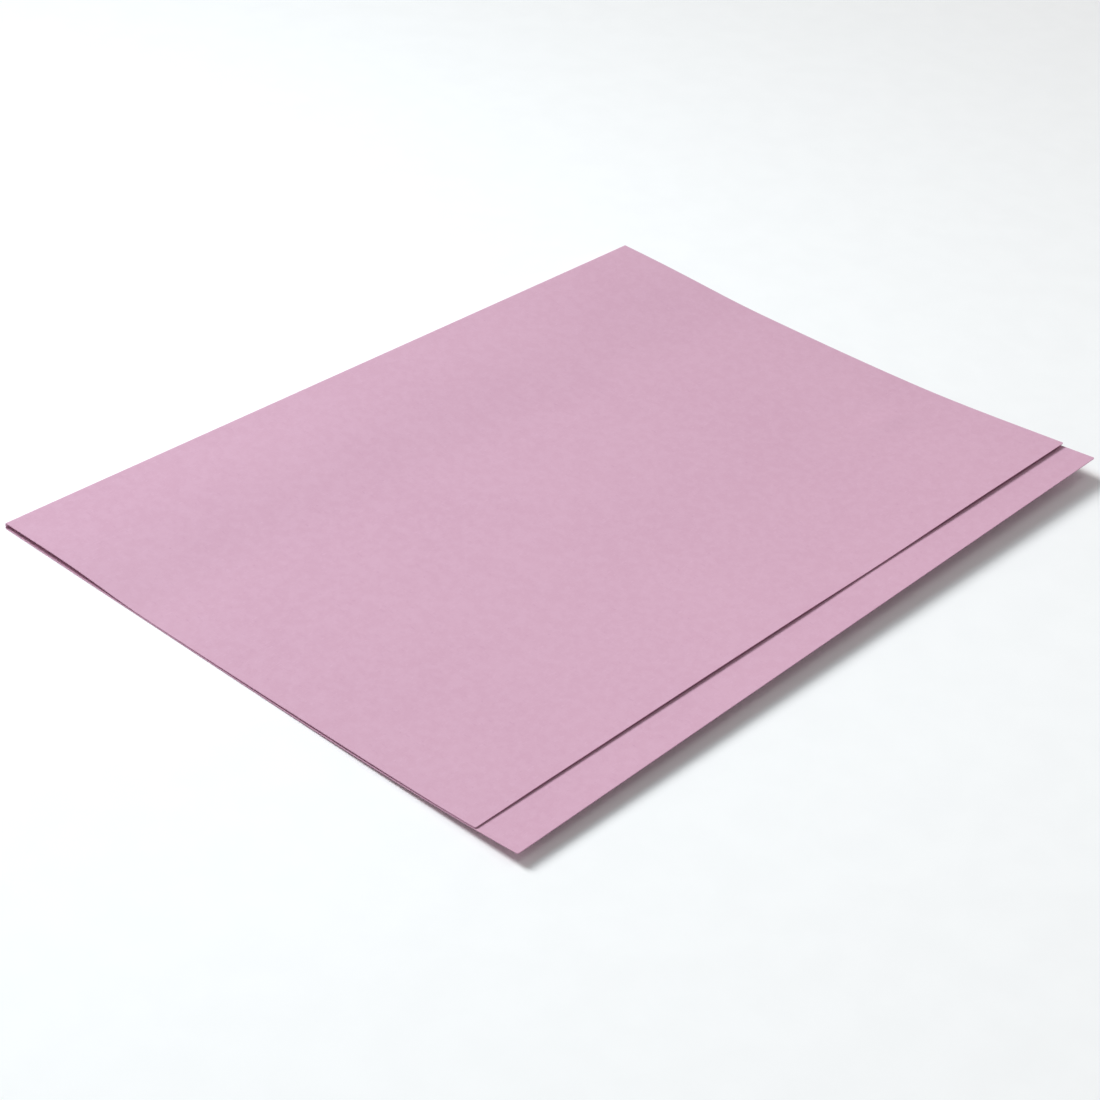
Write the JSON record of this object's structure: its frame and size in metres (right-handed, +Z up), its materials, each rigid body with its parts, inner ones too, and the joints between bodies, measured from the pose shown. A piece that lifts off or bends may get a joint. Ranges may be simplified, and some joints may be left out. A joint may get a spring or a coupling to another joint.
{
  "type": "file folder",
  "caption": "Square-cut folder of one creased sheet of card: back leaf, narrow spine and a shorter front leaf that opens nearly flat.",
  "frame": {"origin": "centre of the closed folder's footprint, on the surface that it lies on", "axes": "+X along the fold, +Y towards the fold, -Y towards the open side, +Z up from the table"},
  "size_m": [0.349, 0.242, 0.0026],
  "materials": {
    "card": "matte uncoated pink manilla card, faint fibre mottling"
  },
  "bodies": {
    "back": {"back_leaf": "card", "rear_crease": "card"},
    "spine": {"spine_strip": "card", "front_crease": "card"},
    "front": {"front_leaf": "card"}
  },
  "joints": [
    {"name": "spine_turn", "type": "hinge", "parent": "back", "child": "spine", "pos_m": [0, 0.12071, 0.00029], "axis": [-1, 0, 0], "range_deg": [0, 89], "deforming": ["rear_crease"]},
    {"name": "cover_turn", "type": "hinge", "parent": "spine", "child": "front", "pos_m": [0, 0.12071, 0.00231], "axis": [-1, 0, 0], "range_deg": [0, 89], "deforming": ["front_crease"]}
  ],
  "couplings": [
    {"joint": "spine_turn", "follows": "cover_turn", "ratio": 1}
  ]
}
